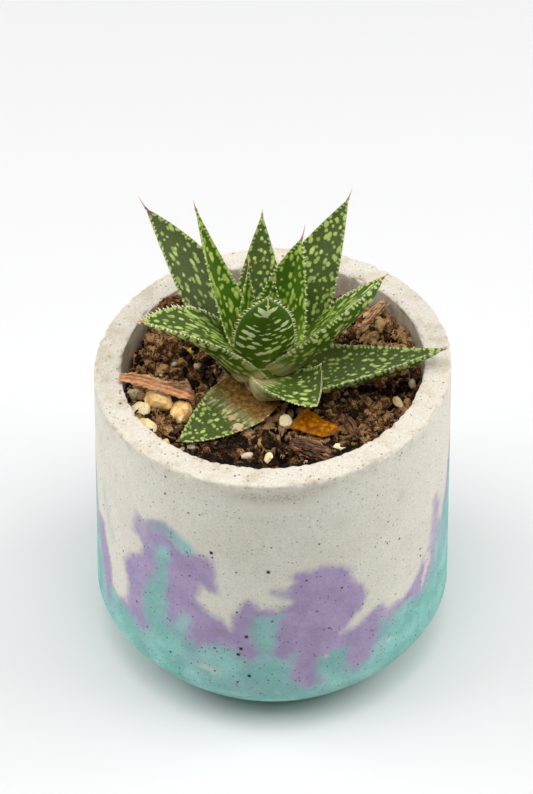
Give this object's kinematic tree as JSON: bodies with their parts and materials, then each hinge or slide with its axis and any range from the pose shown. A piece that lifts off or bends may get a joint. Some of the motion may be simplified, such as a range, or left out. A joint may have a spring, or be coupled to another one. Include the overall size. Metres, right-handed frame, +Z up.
{
  "type": "potted gasteraloe",
  "caption": "Small potted succulent: a rosette of thick, spotted, keeled leaves with toothed margins in a thick-walled marbled concrete pot.",
  "frame": {"origin": "centre of the pot's flat foot, on the surface it stands on", "axes": "+Z up along the pot's axis, -Y towards the viewer of the picture, +X to that viewer's right"},
  "size_m": [0.094, 0.094, 0.1275],
  "materials": {
    "pot_concrete": "matt, with fine pinholes, cream marbled with purple and mint",
    "soil_compost": "loose, crumbly",
    "stem_skin": "matt",
    "leaf_skin": "waxy, with raised pale spots",
    "dead_leaf_brown": "dry, wrinkled",
    "dead_leaf_yellow": "dry, slightly glossy",
    "pebble_stone": "matt",
    "bark": "rough, fibrous"
  },
  "bodies": {
    "root": {"pot": "pot_concrete", "soil": "soil_compost", "stem": "stem_skin", "leaf_01": "leaf_skin", "leaf_02": "leaf_skin", "leaf_03": "leaf_skin", "leaf_04": "leaf_skin", "leaf_05": "leaf_skin", "leaf_06": "leaf_skin", "leaf_07": "leaf_skin", "leaf_08": "leaf_skin", "leaf_09": "leaf_skin", "leaf_10": "leaf_skin", "leaf_11": "leaf_skin", "leaf_12": "leaf_skin", "leaf_13": "leaf_skin", "dead_leaf_brown": "dead_leaf_brown", "dead_leaf_yellow": "dead_leaf_yellow", "pebble_01": "pebble_stone", "pebble_02": "pebble_stone", "pebble_03": "pebble_stone", "pebble_04": "pebble_stone", "pebble_05": "pebble_stone", "pebble_06": "pebble_stone", "pebble_07": "pebble_stone", "pebble_08": "pebble_stone", "pebble_09": "pebble_stone", "pebble_10": "pebble_stone", "pebble_11": "pebble_stone", "bark_01": "bark", "bark_02": "bark", "bark_03": "bark", "bark_04": "bark", "bark_05": "bark", "bark_06": "bark"}
  },
  "joints": []
}
